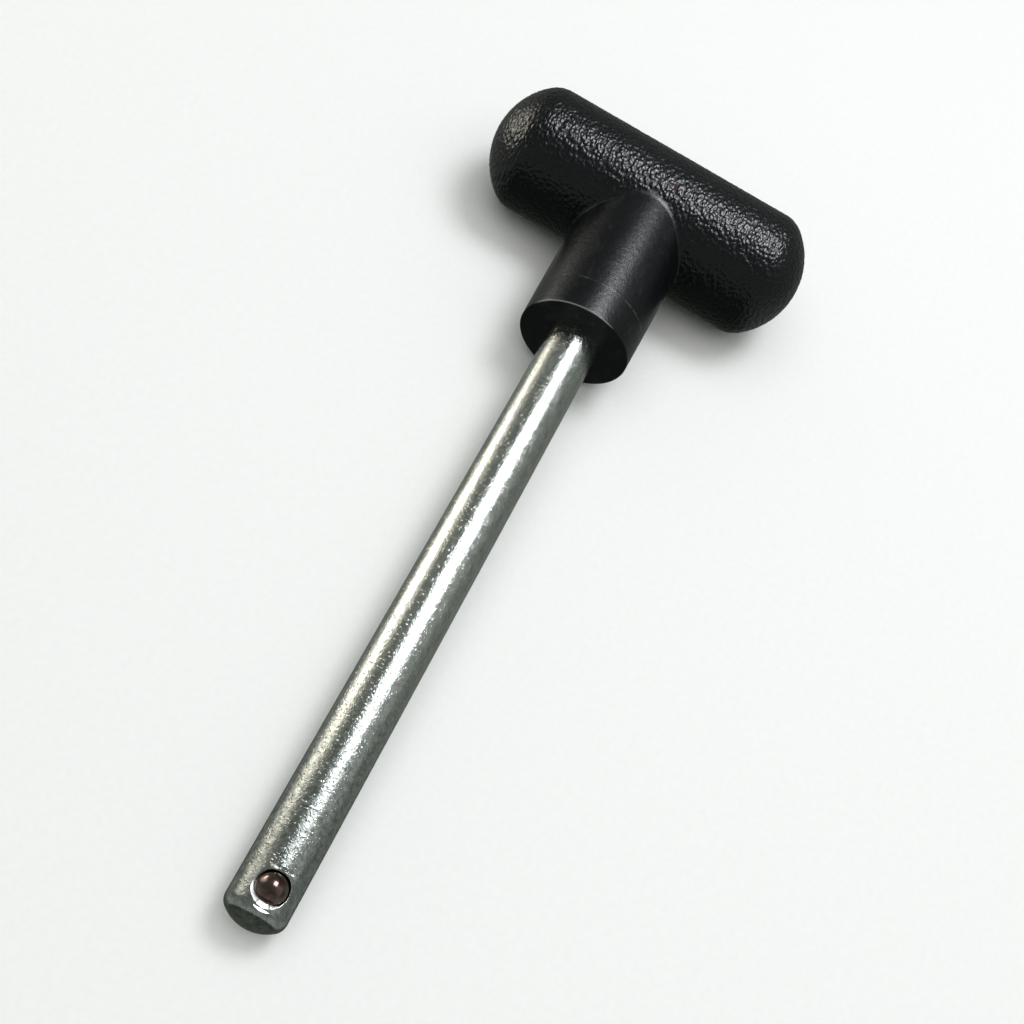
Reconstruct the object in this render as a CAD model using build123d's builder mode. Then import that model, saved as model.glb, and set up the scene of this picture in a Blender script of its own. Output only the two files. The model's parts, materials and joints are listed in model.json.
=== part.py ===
from build123d import *
from math import acos, asin, atan2, cos, degrees, hypot, radians, sin, sqrt
import os

# Locking pin of a weight stack: a moulded T grip on a plated steel shaft, with a sprung ball near the tip.
# The pin lies as it comes to rest, on the grip's underside and the shoulder of its nose, with the ball on top.
# X runs along the pin towards its tip, Y along the grip, and Z is up. Lengths are millimetres.

# Grip, moulded in one piece with its neck
grip_length = 63.5
grip_diameter = 24.2
grip_corner_radius = 6.0
grip_end_crown = 3.0
neck_reach = 34.8
neck_end_diameter = 20.4
neck_draft = 1.0
neck_root_chamfer = 0.5
neck_rim_chamfer = 0.4

# Shaft, turned from bar
shaft_diameter = 9.5
shaft_reach = 110.6
nose_dome_radius = 6.5
nose_shoulder_radius = 2.0
tang_length = 41.0
tang_chamfer = 0.8
tang_groove_width = 2.0
tang_groove_depth = 0.7
tang_groove_pitch = 13.0
tang_groove_count = 2

# Ball and the bore that holds it
ball_diameter = 4.76
ball_setback = 5.5
ball_proud = 1.1
ball_turn = 7.0
bore_floor_wall = 1.4
bore_clearance = 0.12
seat_clearance = 0.03
lip_overhang = 0.15
stake_offset = 3.05
stake_depth = 0.25

# Spring under the ball
wire_diameter = 0.5
wire_sides = 6
coil_clearance = 0.2
coil_turns = 2.5

# Radii and stations along the pin, measured from the grip's centre
grip_radius = grip_diameter / 2
shaft_radius = shaft_diameter / 2
ball_radius = ball_diameter / 2
tip_station = neck_reach + shaft_reach
tang_station = neck_reach - tang_length
ball_station = tip_station - ball_setback
neck_root_radius = neck_end_diameter / 2 + neck_reach * sin(radians(neck_draft)) / cos(radians(neck_draft))

# The nose is a shallow dome, which a round shoulder joins to the shank with no edge between them
dome_centre_station = tip_station - nose_dome_radius
shoulder_height = shaft_radius - nose_shoulder_radius
shoulder_reach = nose_dome_radius - nose_shoulder_radius
shoulder_station = dome_centre_station + sqrt(shoulder_reach**2 - shoulder_height**2)
nose_dome_angle = degrees(asin(shoulder_height / shoulder_reach))

# The pin leans nose down until the shoulder of its nose is as low as the underside of the grip
shoulder_lean = atan2(shoulder_height, shoulder_station)
shoulder_drop = (grip_radius - nose_shoulder_radius) / hypot(shoulder_station, shoulder_height)
tilt = asin(shoulder_drop) - shoulder_lean
along = Vector(cos(tilt), 0, -sin(tilt))
upward = Vector(sin(tilt), 0, cos(tilt))
across = Vector(0, 1, 0)

# The nose's dome is part of a sphere, whose foremost point sets the length over all
reach_ahead = dome_centre_station * cos(tilt) + nose_dome_radius
grip_centre = Vector((grip_radius - reach_ahead) / 2, 0, grip_radius)

# Each end of the grip is a round corner that runs into a shallow dome, with no edge between them
corner_height = grip_radius - grip_corner_radius
corner_station = grip_length / 2 - grip_end_crown - grip_corner_radius
dome_radius = grip_radius + (corner_height - grip_end_crown) ** 2 / (2 * grip_end_crown)
dome_station = grip_length / 2 - dome_radius
dome_angle = degrees(atan2(corner_height, corner_station - dome_station))

# Planes that carry the sketches, and the axes that they turn about
pin_plane = Plane(origin=grip_centre, x_dir=along, z_dir=across * -1)
pin_axis = Axis(grip_centre, along)
grip_plane = Plane(origin=grip_centre, x_dir=across, z_dir=along)
grip_axis = Axis(grip_centre, across)

# The ball's own axis leans a little to one side of upright
ball_side = across * cos(radians(ball_turn)) - upward * sin(radians(ball_turn))
ball_up = upward * cos(radians(ball_turn)) + across * sin(radians(ball_turn))
ball_foot = grip_centre + along * ball_station
ball_height = shaft_radius + ball_proud - ball_radius
ball_centre = ball_foot + ball_up * ball_height
ball_plane = Plane(origin=ball_foot, x_dir=along, z_dir=ball_side * -1)
ball_axis = Axis(ball_foot, ball_up)

# The bore is a sliding fit for the ball, and its staked lips close over it
bore_radius = ball_radius + bore_clearance
bore_floor = bore_floor_wall - shaft_radius
seat_radius = ball_radius + seat_clearance
lip_half_gap = ball_radius - lip_overhang
lip_angle = degrees(acos(lip_half_gap / seat_radius))
lip_height = ball_height + sqrt(seat_radius**2 - lip_half_gap**2)
clear_height = shaft_diameter

# The spring stands on the bore's floor and cups the underside of the ball
wire_radius = wire_diameter / 2
coil_radius = bore_radius - coil_clearance - wire_radius
coil_foot = bore_floor + wire_radius
coil_to_ball = ball_radius + wire_radius + seat_clearance
coil_top = ball_height - sqrt(coil_to_ball**2 - coil_radius**2)
coil_height = coil_top - coil_foot
coil_pitch = coil_height / coil_turns


# Shaft: a grooved tang, a plain shank and a round nose, turned about one axis
with BuildPart() as pin_shaft:
    with BuildSketch(pin_plane):
        with BuildLine():
            Polyline(
                (tip_station, 0),
                (tang_station, 0),
                (tang_station, shaft_radius - tang_chamfer),
                (tang_station + tang_chamfer, shaft_radius),
                (shoulder_station, shaft_radius),
            )
            shoulder_sweep = 90 - nose_dome_angle
            shoulder_centre = (shoulder_station, shoulder_height)
            CenterArc(shoulder_centre, nose_shoulder_radius, nose_dome_angle, shoulder_sweep)
            CenterArc((dome_centre_station, 0), nose_dome_radius, 0, nose_dome_angle)
        make_face()
    revolve(axis=pin_axis)

    # Grooves round the tang, which the moulded grip keys into
    first_groove = tang_station + tang_groove_pitch
    groove_depth_middle = shaft_radius - tang_groove_depth / 2
    for number in range(tang_groove_count):
        groove_middle = first_groove + number * tang_groove_pitch
        with BuildSketch(pin_plane):
            with Locations((groove_middle, groove_depth_middle)):
                Rectangle(tang_groove_width, tang_groove_depth)
        revolve(axis=pin_axis, mode=Mode.SUBTRACT)

    # Blind bore for the spring and the ball, closed over the ball by a round seat
    with BuildSketch(ball_plane):
        with BuildLine():
            Polyline(
                (seat_radius, ball_height),
                (bore_radius, ball_height),
                (bore_radius, bore_floor),
                (0, bore_floor),
                (0, clear_height),
                (lip_half_gap, clear_height),
                (lip_half_gap, lip_height),
            )
            CenterArc((0, ball_height), seat_radius, 0, lip_angle)
        make_face()
    revolve(axis=ball_axis, mode=Mode.SUBTRACT)

    # Only the two staked lips stay, ahead of the ball and behind it
    with BuildSketch(Plane(origin=ball_centre, x_dir=along, z_dir=ball_up)):
        Circle(bore_radius)
        Rectangle(2 * lip_half_gap, 2 * bore_radius, mode=Mode.INTERSECT)
    extrude(amount=clear_height, mode=Mode.SUBTRACT)

    # The staking tool leaves a straight notch beyond each lip
    for side in (-1, 1):
        notch_middle = side * stake_offset
        notch_height = shaft_radius - stake_depth
        with BuildSketch(ball_plane):
            with BuildLine():
                Polyline(
                    (notch_middle, notch_height),
                    (notch_middle + 2 * stake_depth, notch_height + 2 * stake_depth),
                    (notch_middle - 2 * stake_depth, notch_height + 2 * stake_depth),
                    close=True,
                )
            make_face()
        extrude(amount=shaft_radius, both=True, mode=Mode.SUBTRACT)
pin_shaft.part.label = "pin_shaft"


# Grip: a round bar with domed ends and a tapered neck, moulded round the shaft's tang
with BuildPart() as grip_handle:
    with BuildSketch(grip_plane):
        with BuildLine():
            Line((-grip_length / 2, 0), (grip_length / 2, 0))
            Line((-corner_station, grip_radius), (corner_station, grip_radius))
            for side in (-1, 1):
                dome_start = 90 - side * 90
                corner_start = dome_start + side * dome_angle
                corner_sweep = side * (90 - dome_angle)
                CenterArc((side * dome_station, 0), dome_radius, dome_start, side * dome_angle)
                corner_centre = (side * corner_station, corner_height)
                CenterArc(corner_centre, grip_corner_radius, corner_start, corner_sweep)
        make_face()
    revolve(axis=grip_axis)

    with BuildSketch(pin_plane):
        with BuildLine():
            Polyline(
                (0, 0),
                (neck_reach, 0),
                (neck_reach, neck_end_diameter / 2),
                (0, neck_root_radius),
                close=True,
            )
        make_face()
    revolve(axis=pin_axis)
    chamfer(edges(Select.NEW), neck_root_chamfer)

    end_face = faces().sort_by(pin_axis)[-1]
    chamfer(end_face.edges(), neck_rim_chamfer)
    add(pin_shaft.part, mode=Mode.SUBTRACT)
grip_handle.part.label = "grip_handle"


# Ball: a bearing ball that stands proud of the shaft and can be pressed in
with BuildPart() as detent_ball:
    with BuildSketch(ball_plane):
        with BuildLine():
            Line((0, ball_height - ball_radius), (0, ball_height + ball_radius))
            CenterArc((0, ball_height), ball_radius, -90, 180)
        make_face()
    revolve(axis=ball_axis)
detent_ball.part.label = "detent_ball"


# Spring: an open coil in the bore, its round wire drawn with flat sides
with BuildPart() as detent_spring:
    coil_start = ball_foot + ball_up * coil_foot
    with BuildLine():
        coil = Helix(coil_pitch, coil_height, coil_radius, center=coil_start, direction=ball_up)
    with BuildSketch(Plane(origin=coil @ 0, z_dir=coil % 0)):
        RegularPolygon(wire_radius, wire_sides)
    sweep(path=coil, is_frenet=True)
detent_spring.part.label = "detent_spring"


os.makedirs("parts", exist_ok=True)
export_step(pin_shaft.part, "parts/pin_shaft.step")
export_step(grip_handle.part, "parts/grip_handle.step")
export_step(detent_ball.part, "parts/detent_ball.step")
export_step(detent_spring.part, "parts/detent_spring.step")
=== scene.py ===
import bmesh
import bpy
import json
import numpy as np
from math import acos, asin, atan2, cos, hypot, pi, radians, sin, sqrt, tan
from mathutils import Matrix, Vector


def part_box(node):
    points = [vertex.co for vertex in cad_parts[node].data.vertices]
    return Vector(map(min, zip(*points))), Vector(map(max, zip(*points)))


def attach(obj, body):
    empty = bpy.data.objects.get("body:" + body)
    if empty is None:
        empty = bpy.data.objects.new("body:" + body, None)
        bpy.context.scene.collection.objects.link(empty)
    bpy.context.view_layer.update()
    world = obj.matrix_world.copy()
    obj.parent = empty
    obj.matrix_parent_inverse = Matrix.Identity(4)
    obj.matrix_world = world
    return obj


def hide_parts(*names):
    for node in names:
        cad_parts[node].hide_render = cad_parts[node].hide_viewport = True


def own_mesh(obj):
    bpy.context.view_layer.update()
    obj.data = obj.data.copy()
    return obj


# Locking pin of a weight stack: a grained black T grip on a zinc plated shaft, with a sprung ball near its tip.
# Pieces are made in millimetres in one of two frames, and then placed in the row frame, which is in metres.
# The pin frame starts at the grip's centre: X runs along the pin to its tip, Y along the grip's bar, Z up.
# The ball frame starts on the pin's axis under the ball: X runs to the tip, and Z is the ball's own axis.

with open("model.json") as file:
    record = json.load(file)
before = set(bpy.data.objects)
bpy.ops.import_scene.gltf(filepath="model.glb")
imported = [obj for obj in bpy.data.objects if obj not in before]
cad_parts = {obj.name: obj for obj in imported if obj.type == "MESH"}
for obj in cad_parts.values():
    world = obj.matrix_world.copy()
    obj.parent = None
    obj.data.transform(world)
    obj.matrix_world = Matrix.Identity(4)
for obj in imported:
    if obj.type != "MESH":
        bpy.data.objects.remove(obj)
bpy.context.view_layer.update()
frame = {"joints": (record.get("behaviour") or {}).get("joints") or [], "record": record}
MM = 0.001


def box_of(name):
    """The low and high corners of a CAD node's box, in millimetres."""
    return (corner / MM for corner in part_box(name))


# Sizes that the frame gives, in millimetres
shoulder = next(mount for mount in frame["record"]["mounts"] if mount["name"] == "stack_shoulder")
grip_low, grip_high = box_of("grip_handle")
shaft_low, shaft_high = box_of("pin_shaft")
ball_low, ball_high = box_of("detent_ball")

along = Vector(shoulder["axis"]).normalized()
across = Vector((0, 1, 0))
upward = along.cross(across)
ball_up = Vector(frame["joints"][0]["axis"]).normalized()

grip_length = grip_high.y - grip_low.y
grip_radius = (grip_high.z - grip_low.z) / 2
grip_centre = Vector((grip_low.x + grip_radius, 0, grip_low.z + grip_radius))
neck_reach = (Vector(shoulder["pos_m"]) / MM - grip_centre).dot(along)
shaft_radius = (shaft_high.y - shaft_low.y) / 2
ball_radius = (ball_high.z - ball_low.z) / 2
ball_centre = (ball_low + ball_high) / 2
ball_station = (ball_centre - grip_centre).dot(along)
ball_foot = grip_centre + along * ball_station
ball_height = (ball_centre - ball_foot).dot(ball_up)

# Sizes of the moulded grip
end_crown = 3.0
end_corner = 6.0
neck_radius = 10.2
neck_draft = radians(1.0)
neck_rim = 0.16
root_blend = 0.3
bore_slack = 0.02
neck_steps = 256
witness_station = 28.5
witness_half_width = 0.12

# The grain stands on an even mesh, which ends a little way along the neck. Its squares are small enough for the
# pebbles, and large enough to keep the grip under 200,000 triangles.
grain_mesh = 0.28
blank_steps = 180
grain_end = 17.0
neck_start = grain_end + 0.3
stub_spare = 1.5
grain_along, grain_around = 0.62, 0.92
grain_height = 0.07
grain_crisp = 0.07
grain_level = 0.6
grain_clear, grain_margin = 0.1, 0.3

# Mark of the gate on top of the bar, and the upper arc of the neck's rim, which is painted pale as a highlight on
# its edge
gate_turn = radians(12.2)
gate_side = 1.9
gate_radius = 1.0
gate_depth = 0.25
rim_highlight_turn, rim_highlight_half = radians(-18), radians(46)
rim_highlight_gain = 3.0
rim_highlight_fade = 0.04

# Sizes of the turned shaft
tip_ahead = 5.5
nose_dome = 6.5
nose_shoulder = 2.0
tang_length = 41.0
tang_chamfer = 0.8
groove_width = 2.0
groove_depth = 0.7
groove_pitch = 13.0
groove_count = 2
shaft_steps = 192
bore_clearance = 0.12
bore_floor_wall = 1.4
bore_radius = ball_radius + bore_clearance
bore_floor = bore_floor_wall - shaft_radius

# Marks of the staking tool, as stations of the ball frame: a V behind the ball, and ahead of it a steep wall and
# a long ramp, with a ridge of raised metal beside the wall
rear_mark, front_mark = -2.78, 2.95
mark_depth = 0.25
mark_slope = 1.1
mark_wall, mark_ramp = 2.2, 0.18
shiny_from, shiny_to = 2.73, 3.37
shiny_height = 0.02
ridge_height = 0.05
ridge_back, ridge_half_width, ridge_reach = 0.22, 0.12, 1.3
burr_height = 0.16
burrs = [((-2.46, -1.3), (0.36, 0.6)), ((-2.6, 1.9), (0.34, 0.6))]

# Rim of the bore, which the punch dished and closed on the ball
window = 3.5
even_ring = 3.3
dish_turn, dish_half = radians(-35), radians(100)
dish_width = 0.32
dish_slope = 0.14
dish_edge = 0.05
lip_half = radians(48)
front_closing, rear_closing = 1.6, 0.5
rim_margin = 0.08
rim_drop = 0.1
rim_play = 0.05
rim_round = 0.04
rim_wall = 0.12

# Sizes of the coil, whose last turn cups the ball a little above its lowest point
wire_radius = 0.25
wire_sides = 16
coil_clearance = 0.2
coil_radius = bore_radius - coil_clearance - wire_radius
coil_turns = 2.5
coil_steps = 36
coil_seat = 0.03


def frame_matrix(origin, x_axis, z_axis):
    """Places millimetres of a frame with this origin and these axes in the row frame."""
    y_axis = z_axis.cross(x_axis)
    turn = Matrix((x_axis, y_axis, z_axis)).transposed().to_4x4()
    return Matrix.Scale(MM, 4) @ Matrix.Translation(origin) @ turn


pin_frame = frame_matrix(grip_centre, along, upward)
ball_frame = frame_matrix(ball_foot, along, ball_up)
sharpest_smooth = radians(42)


# Colours and nodes

def linear(hexa):
    """An sRGB hex colour as linear red, green, blue and alpha."""
    channels = [int(hexa[i:i + 2], 16) / 255 for i in (0, 2, 4)]
    return [c / 12.92 if c <= 0.04045 else ((c + 0.055) / 1.055) ** 2.4 for c in channels] + [1]


def set_inputs(made, *values, **named):
    """Sets or links a node's inputs: values in the inputs' order, and named ones by name, with _ for a space."""
    sockets = list(zip(made.inputs, values))
    sockets += [(made.inputs[name.replace("_", " ")], value) for name, value in named.items()]
    for socket, value in sockets:
        if isinstance(value, bpy.types.NodeSocket):
            made.id_data.links.new(value, socket)
        else:
            socket.default_value = value


def node(tree, kind, *values, **named):
    """Adds a node: a lower case name sets one of its properties, and the rest goes to its inputs."""
    made = tree.nodes.new("ShaderNode" + kind)
    for name, value in named.items():
        if name[0].islower():
            setattr(made, name, value)
    set_inputs(made, *values, **{name: value for name, value in named.items() if name[0].isupper()})
    return made


def new_material(name):
    material = bpy.data.materials.new(name)
    material.use_nodes = True
    tree = material.node_tree
    return material, tree, tree.nodes["Principled BSDF"]


def frame_millimetres(tree, placing):
    """The Object coordinates in millimetres of the pin or ball frame."""
    row = node(tree, "TexCoord").outputs["Object"]
    back = placing.inverted()
    return node(
        tree, "Mapping", vector_type="POINT", Vector=row,
        Location=back.to_translation(), Rotation=back.to_euler(), Scale=back.to_scale()).outputs[0]


def spread(tree, value, stops):
    """A colour ramp over a value: (position, grey level or hex colour) stops."""
    ramp = node(tree, "ValToRGB", Fac=value)
    elements = ramp.color_ramp.elements
    while len(elements) < len(stops):
        elements.new(0.5)
    for element, (position, colour) in zip(elements, stops):
        element.position = position
        element.color = linear(colour) if isinstance(colour, str) else (colour, colour, colour, 1)
    return ramp.outputs["Color"]


def pebble_grain(tree, place):
    """Height of the grain, 0 in its creases and 1 on its crests. Pebbles are longer round the bar than along."""
    pebbles = (1 / grain_around, 1 / grain_along, 1 / grain_around)
    scaled = node(tree, "VectorMath", place, pebbles, operation="MULTIPLY").outputs[0]
    wander = node(tree, "TexNoise", Vector=scaled, Scale=0.5, Detail=1.0).outputs["Color"]
    moved = node(tree, "VectorMath", wander, (1.2, 1.2, 1.2), scaled, operation="MULTIPLY_ADD").outputs[0]
    reach = node(tree, "TexVoronoi", Vector=moved, Scale=1.0, Randomness=0.85).outputs["Distance"]
    rounded = node(tree, "Math", reach, reach, operation="MULTIPLY").outputs[0]
    return node(tree, "MapRange", Value=rounded, From_Min=0.5, From_Max=0.0).outputs[0]


# Moulded black polypropylene, with a leather grain cut into the mould of the bar and a plain polished mould at
# the neck. The eye sees a black that is never quite black, small glints on the crests of the grain, and a soft
# milky sheen with rubbed patches on the neck.
def moulded_polypropylene():
    material, tree, shader = new_material("moulded_black_polypropylene")
    place = frame_millimetres(tree, pin_frame)
    smooth = node(tree, "Attribute", attribute_name="smooth").outputs["Fac"]
    rim_highlight_share = node(tree, "Attribute", attribute_name="painted_rim_highlight").outputs["Fac"]
    in_gate = node(tree, "Attribute", attribute_name="gate").outputs["Fac"]
    grained = node(tree, "Math", 1.0, smooth, operation="SUBTRACT").outputs[0]
    crest = node(tree, "Math", pebble_grain(tree, place), grained, operation="MULTIPLY").outputs[0]

    # Cloudy variation of the moulding's skin, about 6 mm across
    cloud = node(tree, "TexNoise", Vector=place, Scale=0.17, Detail=5.0, Roughness=0.6).outputs["Fac"]
    # Fine pits of the mould's surface, 0.12 mm, drawn at 0.2 mm so that they show
    pits = node(tree, "TexNoise", Vector=place, Scale=5.0, Detail=3.0, Roughness=0.7).outputs["Fac"]
    # Waves of the polished mould at the neck, about 0.9 mm
    waves = node(tree, "TexNoise", Vector=place, Scale=1.1, Detail=4.0, Roughness=0.65).outputs["Fac"]
    waves = node(tree, "Math", waves, smooth, operation="MULTIPLY").outputs[0]
    # Rubbed patches on the neck, some 2 mm wide and twice as long
    drawn = node(tree, "VectorMath", place, (0.22, 0.45, 0.45), operation="MULTIPLY").outputs[0]
    scuff = node(tree, "TexNoise", Vector=drawn, Scale=1.0, Detail=6.0, Roughness=0.7, Distortion=0.6)
    scuff = spread(tree, scuff.outputs["Fac"], [(0.52, 0.0), (0.68, 1.0)])
    rubbed = node(tree, "Math", scuff, smooth, operation="MULTIPLY").outputs[0]
    # The line that the mould's slide leaves round the neck, broken by the rubbing
    station = node(tree, "SeparateXYZ", Vector=place).outputs["X"]
    line = node(tree, "Math", station, witness_station, witness_half_width, operation="COMPARE").outputs[0]
    broken = node(tree, "MapRange", Value=waves, From_Min=0.44, From_Max=0.6).outputs[0]
    line = node(tree, "Math", line, broken, operation="MULTIPLY").outputs[0]
    line = node(tree, "Math", line, smooth, operation="MULTIPLY").outputs[0]

    # The plastic that the gate tore as it was cut off is a little paler and redder
    torn = node(tree, "MapRange", Value=in_gate, From_Min=0.1, From_Max=0.6).outputs[0]
    tint = spread(tree, cloud, [(0.35, "030508"), (0.7, "06080b")])
    # On the upper arc of the mouth's rim, 6c6e70 is a painted highlight: a pale colour where the light catches
    # the rim's edge.
    for share, colour in ((rubbed, "191b1e"), (line, "3c4043"), (rim_highlight_share, "6c6e70"), (torn, "32232a")):
        mixed = node(tree, "Mix", data_type="RGBA", Factor=share, A=tint, B=linear(colour))
        tint = mixed.outputs["Result"]

    rough_grain = node(tree, "MapRange", Value=crest, To_Min=0.35, To_Max=0.22).outputs[0]
    rough_neck = node(
        tree, "MapRange", Value=cloud, From_Min=0.3, From_Max=0.7, To_Min=0.27, To_Max=0.35).outputs[0]
    rough = node(tree, "Mix", Factor=smooth, A=rough_grain, B=rough_neck).outputs[0]

    relief = None
    for height, depth in ((crest, grain_crisp), (waves, 0.05), (pits, 0.012)):
        bump = node(tree, "Bump", Height=height, Distance=depth * MM, Strength=1.0)
        if relief is not None:
            set_inputs(bump, Normal=relief)
        relief = bump.outputs[0]
    set_inputs(shader, Base_Color=tint, Roughness=rough, IOR=1.49, Specular_IOR_Level=0.4, Normal=relief)
    return material


# Bright zinc plating on turned steel, with a clear passivate. The eye sees a pale grey metal, slightly green,
# with long soft reflections that break up into small cloudy patches, and fine spots where the plating has grown.
# Near the tip it is duller and more mottled, where the pin is pushed through the plates.
def bright_zinc_plate():
    material, tree, shader = new_material("bright_zinc_plated_steel")
    place = frame_millimetres(tree, ball_frame)
    station = node(tree, "SeparateXYZ", Vector=place).outputs["X"]
    used = node(
        tree, "MapRange", interpolation_type="SMOOTHSTEP",
        Value=station, From_Min=-55.0, From_Max=-5.0).outputs[0]
    # The nose is rubbed smooth again, where it finds its way into the holes
    behind_nose = node(tree, "MapRange", Value=station, From_Min=3.0, From_Max=-1.0).outputs[0]
    rubbed = node(tree, "Math", used, behind_nose, operation="MULTIPLY").outputs[0]

    # Clouds of the plating, about 1.1 mm round the shaft and 2 mm along it
    drawn = node(tree, "VectorMath", place, (0.5, 0.9, 0.9), operation="MULTIPLY").outputs[0]
    cloud = node(tree, "TexNoise", Vector=drawn, Scale=1.0, Detail=6.0, Roughness=0.7).outputs["Fac"]
    # Crystals of the plating, 0.1 mm, drawn at 0.4 mm so that they show
    crystal = node(tree, "TexNoise", Vector=place, Scale=2.4, Detail=4.0, Roughness=0.75).outputs["Fac"]
    # Blotches of the worn plating near the tip, about 0.8 mm
    blotch = node(tree, "TexNoise", Vector=place, Scale=1.2, Detail=5.0, Roughness=0.7, Distortion=0.4)
    # Grains of zinc 0.3 mm wide, about 0.5 mm apart
    to_grain = node(tree, "TexVoronoi", Vector=place, Scale=2.0, Randomness=1.0).outputs["Distance"]
    grains = node(
        tree, "MapRange", interpolation_type="SMOOTHSTEP",
        Value=to_grain, From_Min=0.36, From_Max=0.05).outputs[0]
    # Spots 0.5 mm wide where the plating has grown over a speck, about 6 mm apart
    to_spot = node(tree, "TexVoronoi", Vector=place, Scale=0.16).outputs["Distance"]
    spot = node(
        tree, "MapRange", interpolation_type="SMOOTHSTEP",
        Value=to_spot, From_Min=0.05, From_Max=0.02).outputs[0]

    fresh = spread(tree, cloud, [(0.3, "b3b6af"), (0.7, "d2d4cf")])
    dull = spread(tree, blotch.outputs["Fac"], [(0.36, "8b908d"), (0.64, "c2c5bf")])
    tint = node(tree, "Mix", data_type="RGBA", Factor=used, A=fresh, B=dull).outputs["Result"]
    # Bare steel that the staking punch has burnished
    punched = node(tree, "Attribute", attribute_name="punched").outputs["Fac"]
    tint = node(tree, "Mix", data_type="RGBA", Factor=punched, A=tint, B=linear("dcdcd8")).outputs["Result"]
    rough = node(tree, "MapRange", Value=cloud, From_Min=0.3, From_Max=0.7, To_Min=0.12, To_Max=0.22).outputs[0]
    rough = node(tree, "MapRange", Value=punched, To_Min=rough, To_Max=0.38).outputs[0]

    swell = node(tree, "MapRange", Value=rubbed, To_Min=0.022 * MM, To_Max=0.055 * MM).outputs[0]
    grain_rise = node(tree, "MapRange", Value=behind_nose, To_Min=0.0, To_Max=0.04 * MM).outputs[0]
    crystal_rise = node(tree, "MapRange", Value=behind_nose, To_Min=0.02 * MM, To_Max=0.045 * MM).outputs[0]
    relief = None
    for height, rise in ((cloud, swell), (grains, grain_rise), (crystal, crystal_rise), (spot, 0.04 * MM)):
        bump = node(tree, "Bump", Height=height, Distance=rise, Strength=1.0)
        if relief is not None:
            set_inputs(bump, Normal=relief)
        relief = bump.outputs[0]
    set_inputs(shader, Base_Color=tint, Metallic=1.0, Roughness=rough, Normal=relief)
    return material


# Through hardened bearing steel, ground and lapped, slightly browned by oil. The eye sees a small dark mirror.
def hardened_bearing_steel():
    material, tree, shader = new_material("hardened_bearing_steel")
    place = frame_millimetres(tree, ball_frame)
    film = node(tree, "TexNoise", Vector=place, Scale=0.7, Detail=3.0).outputs["Fac"]
    tint = spread(tree, film, [(0.35, "5c4640"), (0.65, "86766f")])
    rough = node(tree, "MapRange", Value=film, From_Min=0.3, From_Max=0.7, To_Min=0.17, To_Max=0.23).outputs[0]
    set_inputs(shader, Base_Color=tint, Metallic=1.0, Roughness=rough)
    return material


# Hard drawn spring wire, with fine draw marks along it. The eye sees a dull grey metal.
def drawn_spring_wire():
    material, tree, shader = new_material("drawn_spring_wire")
    place = frame_millimetres(tree, ball_frame)
    marks = node(tree, "TexNoise", Vector=place, Scale=6.0, Detail=2.0).outputs["Fac"]
    tint = spread(tree, marks, [(0.3, "6f7072"), (0.7, "8d8e8f")])
    rough = node(tree, "MapRange", Value=marks, To_Min=0.3, To_Max=0.45).outputs[0]
    set_inputs(shader, Base_Color=tint, Metallic=1.0, Roughness=rough)
    return material


# Meshes

def object_from(bm, name):
    mesh = bpy.data.meshes.new(name)
    bm.to_mesh(mesh)
    bm.free()
    made = bpy.data.objects.new(name, mesh)
    bpy.context.scene.collection.objects.link(made)
    return made


def with_modifier_applied(carrier):
    """The mesh that an object's modifiers make, without the object."""
    applied = bpy.data.meshes.new_from_object(carrier.evaluated_get(bpy.context.evaluated_depsgraph_get()))
    bpy.data.objects.remove(carrier)
    return applied


def shown_piece(piece, placing, material, body, slot, *nodes):
    """Places a piece in the row frame and finishes it, with its body and the nodes that it replaces. The slot is
    not used.
    """
    piece.data.transform(placing)
    piece.data.shade_smooth()
    piece.data.set_sharp_from_angle(angle=sharpest_smooth)
    piece.data.materials.append(material)
    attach(piece, body)
    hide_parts(*nodes)
    return piece


def turned(bm, points, axis, steps):
    """Adds a chain of points turned about an axis through the origin, and gives the vertices that this makes."""
    # It is turned in a mesh of its own, because each step takes longer in a large mesh
    body = bmesh.new()
    chain = [body.verts.new(point) for point in points]
    edges = [body.edges.new(pair) for pair in zip(chain, chain[1:])]
    bmesh.ops.spin(
        body, geom=chain + edges, cent=(0, 0, 0), axis=axis, angle=2 * pi, steps=steps, use_merge=True)
    bmesh.ops.remove_doubles(body, verts=body.verts, dist=1e-4)
    bmesh.ops.recalc_face_normals(body, faces=body.faces)
    mesh = bpy.data.meshes.new("turned")
    body.to_mesh(mesh)
    body.free()
    before = set(bm.verts)
    bm.from_mesh(mesh)
    bpy.data.meshes.remove(mesh)
    return [v for v in bm.verts if v not in before]


# Moulded grip

neck_root = neck_radius + neck_reach * tan(neck_draft)
corner_height = grip_radius - end_corner
corner_station = grip_length / 2 - end_crown - end_corner
dome_radius = grip_radius + (corner_height - end_crown) ** 2 / (2 * end_crown)
dome_station = grip_length / 2 - dome_radius
dome_angle = atan2(corner_height, corner_station - dome_station)


def neck_height(station):
    """The neck's radius at a station, with its draft."""
    return neck_root - station * tan(neck_draft)


def bar_distance(points):
    """How far points stand out of the grip's bar, whose ends are domes with round corners."""
    side = np.abs(points[:, 1])
    height = np.hypot(points[:, 0], points[:, 2])
    straight = height - grip_radius
    corner = np.hypot(side - corner_station, height - corner_height) - end_corner
    dome = np.hypot(side - dome_station, height) - dome_radius
    in_dome = np.arctan2(height, side - dome_station) < dome_angle
    return np.where(side < corner_station, straight, np.where(in_dome, dome, corner))


def neck_distance(points):
    """How far points stand out of the neck's cone, which goes on past the mouth here."""
    return (np.hypot(points[:, 1], points[:, 2]) - neck_height(points[:, 0])) * cos(neck_draft)


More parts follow.
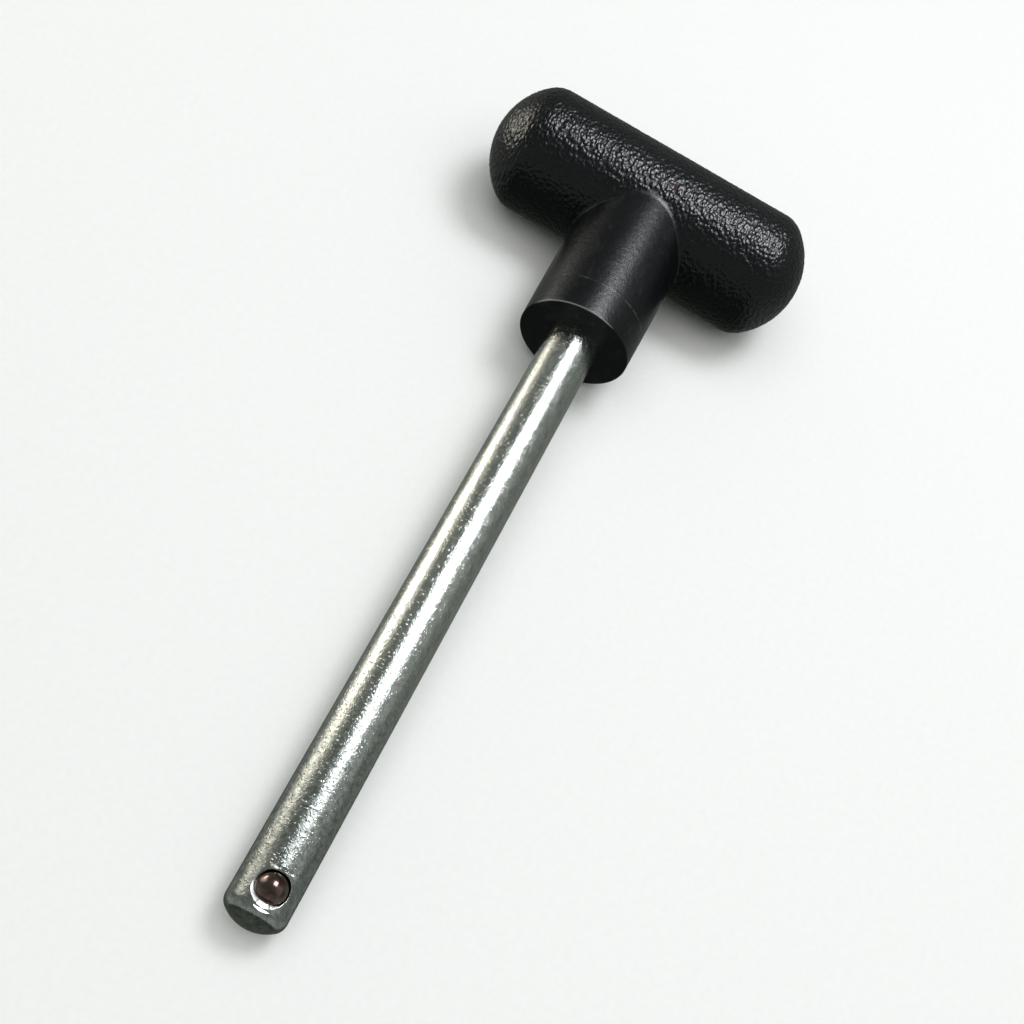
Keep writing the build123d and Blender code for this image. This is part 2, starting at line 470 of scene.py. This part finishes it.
def grip_distance(points):
    """The bar and the neck joined with a small blend in the corner between them."""
    bar = bar_distance(points)
    neck = np.where(points[:, 0] > 0, neck_distance(points), root_blend)
    near = np.clip(root_blend - np.abs(bar - neck), 0, None)
    return np.minimum(bar, neck) - near ** 2 / (4 * root_blend)


def steepest(points, distance):
    """The direction in which a distance grows, at each point."""
    step = 0.01
    rises = [distance(points + step * axis) - distance(points - step * axis) for axis in np.eye(3)]
    slope = np.stack(rises, axis=1)
    return slope / np.linalg.norm(slope, axis=1, keepdims=True)


def bar_outline(steps):
    """Half of the bar's outline as (side, height) points, from the crown of an end to the bar's middle."""
    turn = np.linspace(0, dome_angle, steps)
    dome = [(dome_station + dome_radius * cos(a), dome_radius * sin(a)) for a in turn]
    turn = np.linspace(dome_angle, pi / 2, steps)[1:]
    corner = [(corner_station + end_corner * cos(a), corner_height + end_corner * sin(a)) for a in turn]
    return dome + corner


def neck_outline():
    """The neck's outline beyond the grain, as (station, height) points: its draft, rim, face and bore."""
    rim_station, rim_height = neck_reach - neck_rim, neck_radius - neck_rim
    inner = shaft_radius + bore_slack
    tang_end = neck_reach - tang_length - bore_slack
    draft = [(x, neck_height(x)) for x in np.linspace(neck_start, rim_station - rim_highlight_fade, 18)]
    rim = [(rim_station + neck_rim * sin(a), rim_height + neck_rim * cos(a)) for a in np.linspace(0, pi / 2, 7)]
    face = [(neck_reach, r) for r in np.linspace(rim_height - rim_highlight_fade, inner, 6)]
    return draft + rim + face + [(tang_end, inner), (tang_end, 0)]


def grip_blank():
    """The bar with a stub of the neck, as one even mesh of small squares."""
    half = bar_outline(16)
    bar = [(0, y, z) for y, z in half] + [(0, -y, z) for y, z in reversed(half)]
    stub_end = grain_end + stub_spare
    stub = [(0, 0, 0), (0, 0, neck_root), (stub_end, 0, neck_height(stub_end)), (stub_end, 0, 0)]
    bm = bmesh.new()
    turned(bm, bar, (0, 1, 0), blank_steps)
    turned(bm, stub, (1, 0, 0), blank_steps)
    blank = object_from(bm, "grip_blank")
    even = blank.modifiers.new("even", "REMESH")
    even.mode = "VOXEL"
    even.voxel_size = grain_mesh
    return with_modifier_applied(blank)


def with_grain(mesh):
    """The mesh with the grain's height at each vertex as an attribute, from the nodes that the material has."""
    tree = bpy.data.node_groups.new("grain_heights", "GeometryNodeTree")
    for way in ("INPUT", "OUTPUT"):
        tree.interface.new_socket("Mesh", in_out=way, socket_type="NodeSocketGeometry")
    store = tree.nodes.new("GeometryNodeStoreNamedAttribute")
    store.inputs["Name"].default_value = "grain"
    tree.links.new(tree.nodes.new("NodeGroupInput").outputs[0], store.inputs["Geometry"])
    place = tree.nodes.new("GeometryNodeInputPosition").outputs[0]
    tree.links.new(pebble_grain(tree, place), store.inputs["Value"])
    tree.links.new(store.outputs["Geometry"], tree.nodes.new("NodeGroupOutput").inputs[0])
    carrier = bpy.data.objects.new("grain_carrier", mesh)
    bpy.context.scene.collection.objects.link(carrier)
    carrier.modifiers.new("grain", "NODES").node_group = tree
    return with_modifier_applied(carrier)


def moulded_grip():
    # The even mesh is drawn onto the exact form, and then raised by the grain
    blank = grip_blank()
    points = np.array([v.co for v in blank.vertices])
    for _ in range(4):
        points -= steepest(points, grip_distance) * grip_distance(points)[:, None]
    blank.vertices.foreach_set("co", points.ravel())
    outward = steepest(points, grip_distance)
    clear_of_neck = np.where(points[:, 0] > 0, neck_distance(points), grip_radius)

    bm = bmesh.new()
    bm.from_mesh(with_grain(blank))
    gate = Vector((grip_radius * sin(gate_turn), gate_side, grip_radius * cos(gate_turn)))
    grain = bm.verts.layers.float["grain"]
    smooth = bm.verts.layers.float.new("smooth")
    painted_rim_highlight = bm.verts.layers.float.new("painted_rim_highlight")
    in_gate = bm.verts.layers.float.new("gate")
    for vert, out, clear in zip(bm.verts, outward, clear_of_neck):
        grained = min(1.0, max(0.0, (clear - grain_clear) / grain_margin))
        vert[smooth] = 1 - grained
        vert[in_gate] = max(0.0, 1 - ((vert.co - gate).length / gate_radius) ** 2)
        lift = (vert[grain] - grain_level) * grain_height * grained - gate_depth * vert[in_gate] ** 2
        vert.co += Vector(out) * lift
    bmesh.ops.bisect_plane(
        bm, geom=bm.verts[:] + bm.edges[:] + bm.faces[:], dist=1e-5,
        plane_co=(grain_end, 0, 0), plane_no=(1, 0, 0), clear_outer=True)

    # The rest of the neck, its rounded mouth and the bore that the shaft's tang fills
    touch = 0.01
    for vert in turned(bm, [(x, 0, r) for x, r in neck_outline()], (1, 0, 0), neck_steps):
        vert[smooth] = 1.0
        # The upper arc of the mouth's rim is marked for a painted highlight, which fades out towards the sides.
        height = hypot(vert.co.y, vert.co.z)
        if vert.co.x > neck_reach - neck_rim - touch and height > neck_radius - neck_rim - touch:
            turn = (atan2(vert.co.y, vert.co.z) - rim_highlight_turn) / rim_highlight_half
            vert[painted_rim_highlight] = min(1.0, rim_highlight_gain * max(0.0, 1 - turn ** 2))

    def open_ring(station):
        return [e for e in bm.edges if e.is_boundary and all(abs(v.co.x - station) < touch for v in e.verts)]

    bmesh.ops.bridge_loops(bm, edges=open_ring(grain_end) + open_ring(neck_start))
    bmesh.ops.recalc_face_normals(bm, faces=bm.faces)
    return object_from(bm, "grip_moulding")


# Plated shaft

dome_centre = tip_ahead - nose_dome
shoulder_height = shaft_radius - nose_shoulder
shoulder_reach = nose_dome - nose_shoulder
shoulder_station = dome_centre + sqrt(shoulder_reach ** 2 - shoulder_height ** 2)
nose_turn = asin(shoulder_height / shoulder_reach)


def shaft_height(station):
    """The shaft's radius at a station of the shank or of the round shoulder of its nose."""
    ahead = max(0.0, station - shoulder_station)
    return shoulder_height + sqrt(nose_shoulder ** 2 - ahead ** 2)


def shaft_outline():
    """The shaft's outline in the ball frame as (station, height) points, from its tip to the end of its tang."""
    dome = [(dome_centre + nose_dome * cos(a), nose_dome * sin(a)) for a in np.linspace(0, nose_turn, 20)]
    window_angle = acos((window - shoulder_station) / nose_shoulder)
    shoulder = [
        (shoulder_station + nose_shoulder * cos(a), shoulder_height + nose_shoulder * sin(a))
        for a in np.linspace(nose_turn, window_angle, 8)[1:-1]]
    mouth = neck_reach - ball_station
    shank = [(x, shaft_height(x)) for x in np.linspace(window, -window, 51)]
    shank += [(x, shaft_radius) for x in np.linspace(-window, mouth, 30)[1:]]
    start = mouth - tang_length
    root = shaft_radius - groove_depth
    tang = []
    for number in reversed(range(groove_count)):
        middle = start + (number + 1) * groove_pitch
        ahead, behind = middle + groove_width / 2, middle - groove_width / 2
        tang += [(ahead, shaft_radius), (ahead, root), (behind, root), (behind, shaft_radius)]
    tang += [(start + tang_chamfer, shaft_radius), (start, shaft_radius - tang_chamfer), (start, 0)]
    return dome + shoulder + shank + tang


def surface_height(station, side):
    return sqrt(shaft_height(station) ** 2 - side ** 2)


def stake_relief(station, side):
    """How the staking tool's two straight marks, and the metal that they raised, change the shank's surface."""
    above_floor = surface_height(station, side) - (shaft_radius - mark_depth)
    if station < 0:
        return min(0.0, mark_slope * abs(station - rear_mark) - above_floor)
    past = station - front_mark
    cut = min(0.0, (mark_ramp * past if past > 0 else -mark_wall * past) - above_floor)
    ridge = ridge_height * max(0.0, 1 - abs(past + ridge_back) / ridge_half_width)
    return cut + (ridge if abs(side) < ridge_reach else 0.0)


def burr(station, side):
    """Two small burrs behind the ball, at the ends of the rear mark."""
    near = min(hypot((station - x) / length, (side - y) / width) for (x, y), (length, width) in burrs)
    return burr_height * (1 - near ** 2) ** 2 if near < 1 else 0.0


def lip_share(angle):
    """1 at the middle of a staked lip, ahead of the ball or behind it, and 0 at the sides."""
    turn = min(abs(angle), pi - abs(angle)) / lip_half
    return max(0.0, 1 - turn ** 2) ** 1.5


def dish_share(angle):
    """1 where the punch dished the rim most, ahead of the ball and a little to its left, and 0 behind it."""
    turn = (angle - dish_turn) / dish_half
    return max(0.0, 1 - turn ** 2)


def lip_close(angle):
    """How nearly the rim closes on the ball: wholly ahead and on the left, and in part behind it."""
    return max(min(1.0, front_closing * dish_share(angle)), rear_closing * lip_share(angle))


def raised(angle, reach):
    """The height of the shank's surface round the ball, with its marks and burrs."""
    x, y = reach * cos(angle), reach * sin(angle)
    return surface_height(x, y) + stake_relief(x, y) + burr(x, y)


def rim_inner(angle):
    above = surface_height(bore_radius * cos(angle), bore_radius * sin(angle)) - rim_drop - ball_height
    contact = sqrt(ball_radius ** 2 - above ** 2) + rim_play
    return bore_radius - (bore_radius - contact) * lip_close(angle)


def rim_outer(angle):
    return bore_radius + rim_margin + dish_width * dish_share(angle)


def dish_foot(angle):
    outer = rim_outer(angle)
    return raised(angle, outer) - dish_slope * (outer - rim_inner(angle))


def plated_shaft():
    step = 2 * pi / shaft_steps
    window_turn = round(asin(window / shaft_radius) / step) * step
    bm = bmesh.new()
    turned(bm, [(x, 0, z) for x, z in shaft_outline()], (1, 0, 0), shaft_steps)
    punched = bm.verts.layers.float.new("punched")

    def in_window(face):
        middle = face.calc_center_median()
        return abs(middle.x) < window and abs(atan2(middle.y, middle.z)) < window_turn and middle.z > 0

    def next_ring(edges, reach_of, height_of, burnish=lambda angle: 0.0):
        """Extrudes a ring of edges, each vertex to a reach and height that its angle about the ball gives it."""
        made = bmesh.ops.extrude_edge_only(bm, edges=edges)["geom"]
        for vert in (g for g in made if isinstance(g, bmesh.types.BMVert)):
            angle = atan2(vert.co.y, vert.co.x)
            reach = reach_of(angle, hypot(vert.co.x, vert.co.y))
            x, y = reach * cos(angle), reach * sin(angle)
            vert.co = (x, y, height_of(angle, reach))
            on_mark = shiny_from < x < shiny_to and stake_relief(x, y) < -shiny_height
            vert[punched] = 1.0 if on_mark or burr(x, y) > shiny_height else burnish(angle)
        return [g for g in made if isinstance(g, bmesh.types.BMEdge)]

    # The skin over the ball is opened as a window, and filled again with rings that close in on the ball
    bmesh.ops.delete(bm, geom=[f for f in bm.faces if in_window(f)], context="FACES")
    ring = [e for e in bm.edges if e.is_boundary]
    for share in (0.8, 0.6, 0.4, 0.2, 0.0):
        ring = next_ring(ring, lambda a, r, s=share: even_ring + (r - even_ring) * s, raised)
    for part in np.linspace(0, 1, 9)[1:]:
        ring = next_ring(ring, lambda a, r, t=part: even_ring + (rim_outer(a) - even_ring) * t, raised)
    ring = next_ring(
        ring, lambda a, r: rim_outer(a) - dish_edge, lambda a, r: dish_foot(a) + dish_slope * (r - rim_inner(a)),
        dish_share)
    ring = next_ring(ring, lambda a, r: rim_inner(a) + rim_round, lambda a, r: dish_foot(a), dish_share)
    ring = next_ring(ring, lambda a, r: rim_inner(a), lambda a, r: dish_foot(a) - rim_round, dish_share)
    ring = next_ring(ring, lambda a, r: rim_inner(a), lambda a, r: dish_foot(a) - rim_wall)
    ring = next_ring(ring, lambda a, r: bore_radius, lambda a, r: ball_height)
    ring = next_ring(ring, lambda a, r: bore_radius, lambda a, r: bore_floor)
    bmesh.ops.edgeloop_fill(bm, edges=ring)
    bmesh.ops.recalc_face_normals(bm, faces=bm.faces)
    return object_from(bm, "plated_shaft")


# Ball and spring

def bearing_ball():
    bm = bmesh.new()
    bmesh.ops.create_uvsphere(bm, u_segments=96, v_segments=48, radius=ball_radius)
    bmesh.ops.translate(bm, verts=bm.verts, vec=(0, 0, ball_height))
    return object_from(bm, "bearing_ball")


def coil_spring():
    foot = bore_floor + wire_radius
    reach = ball_radius + wire_radius + coil_seat
    top = ball_height - sqrt(reach ** 2 - coil_radius ** 2)
    steps = round(coil_steps * coil_turns)
    bm = bmesh.new()
    wire = bmesh.ops.create_circle(bm, cap_ends=False, segments=wire_sides, radius=wire_radius)["verts"]
    bmesh.ops.rotate(bm, verts=wire, cent=(0, 0, 0), matrix=Matrix.Rotation(pi / 2, 3, "X"))
    bmesh.ops.translate(bm, verts=wire, vec=(coil_radius, 0, foot))
    bmesh.ops.spin(
        bm, geom=bm.verts[:] + bm.edges[:], cent=(0, 0, 0), axis=(0, 0, 1), dvec=(0, 0, (top - foot) / steps),
        angle=2 * pi * coil_turns, steps=steps, use_merge=False)
    bmesh.ops.holes_fill(bm, edges=bm.edges, sides=wire_sides)
    bmesh.ops.recalc_face_normals(bm, faces=bm.faces)
    return object_from(bm, "coil_spring")


shown_piece(moulded_grip(), pin_frame, moulded_polypropylene(), "pin", "grip_plastic", "grip_handle")
shown_piece(plated_shaft(), ball_frame, bright_zinc_plate(), "pin", "zinc_plated_steel", "pin_shaft")
shown_piece(bearing_ball(), ball_frame, hardened_bearing_steel(), "ball", "ball_steel", "detent_ball")
spring = shown_piece(coil_spring(), ball_frame, drawn_spring_wire(), "pin", "spring_steel", "detent_spring")

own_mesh(spring)


# Stage, light and camera

# The camera's place, aim and lens, in the pin frame. They were solved from the outlines of the pin in the photo.
camera_eye = (172.131, -1.464, 185.013)
camera_target = (70.005, 4.731, 0)
camera_right = (-0.41831, 0.87029, 0.26004)
camera_lens, camera_sensor = 46.016, 36


def aimed(position, target, right):
    """A matrix that looks from position to target, with its own right hand as near to right as it can be."""
    back = (position - target).normalized()
    right = (right - back * right.dot(back)).normalized()
    turn = Matrix((right, back.cross(right), back)).transposed().to_4x4()
    return Matrix.Translation(position) @ turn


def pin_direction(x, y, z):
    return along * x + across * y + upward * z


def paper_stage():
    """A pale sheet under the pin that rises all round into a wall, in metres."""
    material, tree, shader = new_material("matt_pale_paper")
    place = node(tree, "TexCoord").outputs["Object"]
    fibre = node(tree, "TexNoise", Vector=place, Scale=900.0).outputs["Fac"]
    tint = spread(tree, fibre, [(0.0, "eeeeec"), (1.0, "f4f4f2")])
    set_inputs(shader, Base_Color=tint, Roughness=0.9)
    flat, bend, wall = 1.6, 0.5, 1.2
    points = [(0, 0, 0), (0.4, 0, 0), (flat, 0, 0)]
    points += [(flat + bend * sin(a), 0, bend * (1 - cos(a))) for a in np.linspace(0, pi / 2, 9)[1:]]
    points.append((flat + bend, 0, wall))
    bm = bmesh.new()
    turned(bm, points, (0, 0, 1), 64)
    bmesh.ops.reverse_faces(bm, faces=bm.faces)
    floor = object_from(bm, "paper_stage")
    floor.data.shade_smooth()
    floor.data.materials.append(material)
    floor.visible_glossy = False


def softbox(name, middle, target, length_along, length, width, power, colour):
    """A soft light at a place of the pin frame, facing another, with its length along a direction."""
    lamp = bpy.data.lights.new(name, "AREA")
    lamp.shape = "ELLIPSE"
    lamp.size, lamp.size_y = length * MM, width * MM
    lamp.energy = power
    lamp.color = linear(colour)[:3]
    made = bpy.data.objects.new(name, lamp)
    middle, target = pin_frame @ Vector(middle), pin_frame @ Vector(target)
    made.matrix_world = aimed(middle, target, pin_direction(*length_along))
    made.visible_camera = False
    bpy.context.scene.collection.objects.link(made)
    return made


def studio():
    """A broad even light for the floor, and smaller ones that the metal and the grain mirror."""
    over_pin = (-0.97, 0.24, 0)
    softbox("overhead_light", (-215, 142, 650), (40, 20, 0), over_pin, 230, 330, 1.6, "f6faff")
    softbox("far_light", (-385, 182, 652), (40, 20, 0), over_pin, 190, 280, 0.3, "f6faff")
    near = softbox("near_light", (-95, 70, 300), (0, 25, 10), over_pin, 130, 130, 0.58, "f6faff")
    side = softbox("side_light", (-22, -214, 22), (8, -30, 5), (1, 0, 0), 110, 60, 0.14, "fbf7e6")
    fill = softbox("fill_light", (0, 0, 1000), (0, 0, 0), (0, 1, 0), 1600, 1600, 8.2, "ffffff")
    near.visible_diffuse = False
    side.visible_diffuse = False
    fill.visible_glossy = False


def grey_room():
    """The room that the metal mirrors: grey, with a soft warm window on the left and dark patches low down."""
    world = bpy.data.worlds.new("grey_room")
    world.use_nodes = True
    tree = world.node_tree
    gaze = node(tree, "TexCoord").outputs["Generated"]

    def facing(*direction):
        """The cosine of the angle between the gaze and a direction of the pin frame."""
        way = pin_direction(*direction).normalized()
        return node(tree, "VectorMath", gaze, way, operation="DOT_PRODUCT").outputs["Value"]

    dim_front = [(0.0, "7a7f7b"), (0.5, "9da29e"), (0.775, "a8ada9"), (0.80, "1e2220"), (0.95, "565b57")]
    grey = spread(tree, facing(cos(radians(30)), 0, -sin(radians(30))), dim_front)
    pale_wall = ((-0.1, 0.76, 0.64), 0.82, 0.98, "b4b8b5")
    table_in_shadow = ((0.25, 0, -0.97), 0.62, 0.85, "50554f")
    for way, edge, middle, colour in (pale_wall, table_in_shadow):
        share = node(
            tree, "MapRange", interpolation_type="SMOOTHSTEP", Value=facing(*way), From_Min=edge, From_Max=middle)
        mixed = node(tree, "Mix", data_type="RGBA", Factor=share.outputs[0], A=grey, B=linear(colour))
        grey = mixed.outputs["Result"]

    # The window is taller than it is wide
    window_middle = pin_direction(-0.36, -0.92, 0.12).normalized()
    from_window = node(
        tree, "Mapping", vector_type="TEXTURE", Vector=gaze, Location=window_middle,
        Rotation=pin_frame.to_euler(), Scale=(0.52, 1, 1)).outputs[0]
    from_window = node(tree, "VectorMath", from_window, operation="LENGTH").outputs["Value"]
    glow = node(
        tree, "MapRange", interpolation_type="SMOOTHSTEP",
        Value=from_window, From_Min=0.585, From_Max=0.14).outputs[0]
    warm = node(tree, "VectorMath", linear("fff8ec")[:3], operation="SCALE", Scale=2.2).outputs[0]
    room = node(tree, "Mix", data_type="RGBA", Factor=glow, A=grey, B=warm).outputs["Result"]
    set_inputs(tree.nodes["Background"], Color=room)
    bpy.context.scene.world = world


def photo_camera():
    camera = bpy.data.objects.new("camera", bpy.data.cameras.new("camera"))
    camera.data.sensor_width = camera_sensor
    camera.data.lens = camera_lens
    camera.data.clip_start = 0.01
    eye, target = pin_frame @ Vector(camera_eye), pin_frame @ Vector(camera_target)
    camera.matrix_world = aimed(eye, target, pin_direction(*camera_right))
    bpy.context.scene.collection.objects.link(camera)
    bpy.context.scene.camera = camera


paper_stage()
grey_room()
studio()
photo_camera()
bpy.context.scene.view_settings.view_transform = "Standard"
